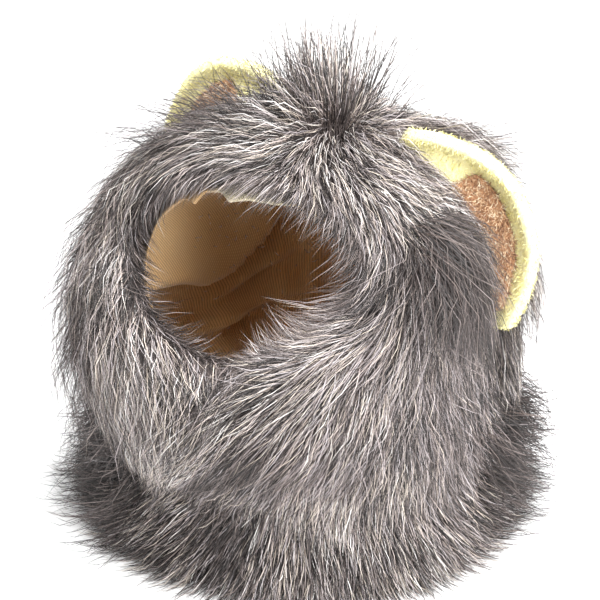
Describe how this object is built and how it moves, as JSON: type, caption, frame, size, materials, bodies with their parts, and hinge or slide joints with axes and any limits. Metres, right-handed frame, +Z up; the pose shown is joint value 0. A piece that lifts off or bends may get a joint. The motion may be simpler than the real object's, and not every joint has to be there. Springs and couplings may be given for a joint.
{
  "type": "pet costume hood",
  "caption": "Pet costume hood of deep grey-brown faux fur with a face opening, a fur collar, a tan cloth lining and cupped plush ears.",
  "frame": {"origin": "centre of the hood's length and width, at the hem of the collar, which it stands on", "axes": "+Z up, -Y the way the face opening looks, +X to the wearer's left"},
  "size_m": [0.1922, 0.2, 0.1978],
  "materials": {
    "fur": "long grey-brown faux fur pile, softly glossy",
    "lining": "matt tan knitted lining with fine wales",
    "ear_plush": "matt short cream plush",
    "ear_panel": "matt short tan plush"
  },
  "bodies": {
    "root": {"hood_fur": "fur", "collar_fur": "fur", "lining": "lining", "ear_left": "ear_plush", "ear_right": "ear_plush", "ear_left_inner": "ear_panel", "ear_right_inner": "ear_panel"}
  },
  "joints": []
}
